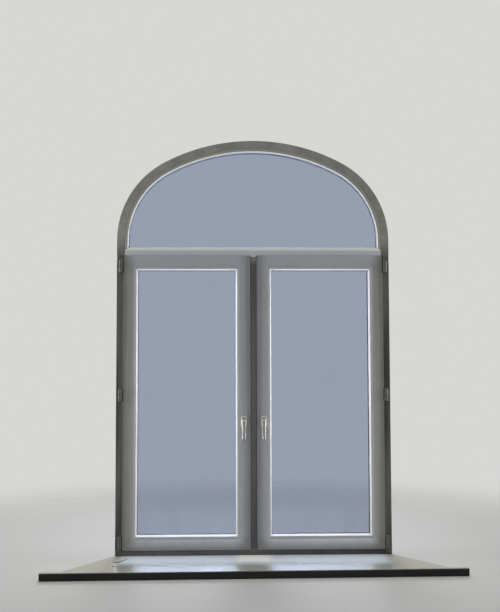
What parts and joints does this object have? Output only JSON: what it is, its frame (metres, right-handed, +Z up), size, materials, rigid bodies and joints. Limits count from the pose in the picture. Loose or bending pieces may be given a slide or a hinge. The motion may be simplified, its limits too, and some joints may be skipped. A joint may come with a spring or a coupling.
{
  "type": "arched top window",
  "caption": "Arched plastic window frame with a fixed fanlight above paired side-hung sashes, glazed, with handles, hinges and a splayed inner window board.",
  "frame": {"origin": "middle of the base profile's underside, halfway through the frame's depth", "axes": "+X to the right as seen from the room, +Y to the outside, +Z up"},
  "size_m": [2.204, 0.456, 2.358],
  "materials": {
    "frame_plastic": "white uPVC, satin",
    "sash_plastic": "white uPVC, satin",
    "bead_plastic": "white uPVC, satin",
    "base_plastic": "white uPVC, satin",
    "glass": "clear float",
    "spacer_bar": "mill",
    "gasket": "black sealing rubber",
    "handle_paint": "white powder coat",
    "hinge_cover": "grey caps",
    "board": "glossy off-white paint, dark at the front lip"
  },
  "bodies": {
    "root": {"base_profile": "base_plastic", "frame_bottom_rail": "frame_plastic", "left_jamb": "frame_plastic", "right_jamb": "frame_plastic", "arch_head": "frame_plastic", "transom": "frame_plastic", "mullion": "frame_plastic", "fanlight_glass": "glass", "fanlight_spacer": "spacer_bar", "fanlight_gasket": "gasket", "fanlight_arch_bead": "bead_plastic", "fanlight_bottom_bead": "bead_plastic", "window_board": "board", "drain_caps": "base_plastic", "left_sash_hinge_stile": "sash_plastic", "left_sash_lock_stile": "sash_plastic", "left_sash_top_rail": "sash_plastic", "left_sash_bottom_rail": "sash_plastic", "left_sash_glass": "glass", "left_sash_spacer": "spacer_bar", "left_sash_gasket": "gasket", "left_sash_seals": "gasket", "left_sash_upright_beads": "bead_plastic", "left_sash_cross_beads": "bead_plastic", "left_handle_rosette": "handle_paint", "left_handle_lever": "handle_paint", "left_top_hinge": "hinge_cover", "left_middle_hinge": "hinge_cover", "left_bottom_hinge": "hinge_cover", "right_sash_hinge_stile": "sash_plastic", "right_sash_lock_stile": "sash_plastic", "right_sash_top_rail": "sash_plastic", "right_sash_bottom_rail": "sash_plastic", "right_sash_glass": "glass", "right_sash_spacer": "spacer_bar", "right_sash_gasket": "gasket", "right_sash_seals": "gasket", "right_sash_upright_beads": "bead_plastic", "right_sash_cross_beads": "bead_plastic", "right_handle_rosette": "handle_paint", "right_handle_lever": "handle_paint", "right_top_hinge": "hinge_cover", "right_middle_hinge": "hinge_cover", "right_bottom_hinge": "hinge_cover"}
  },
  "joints": []
}
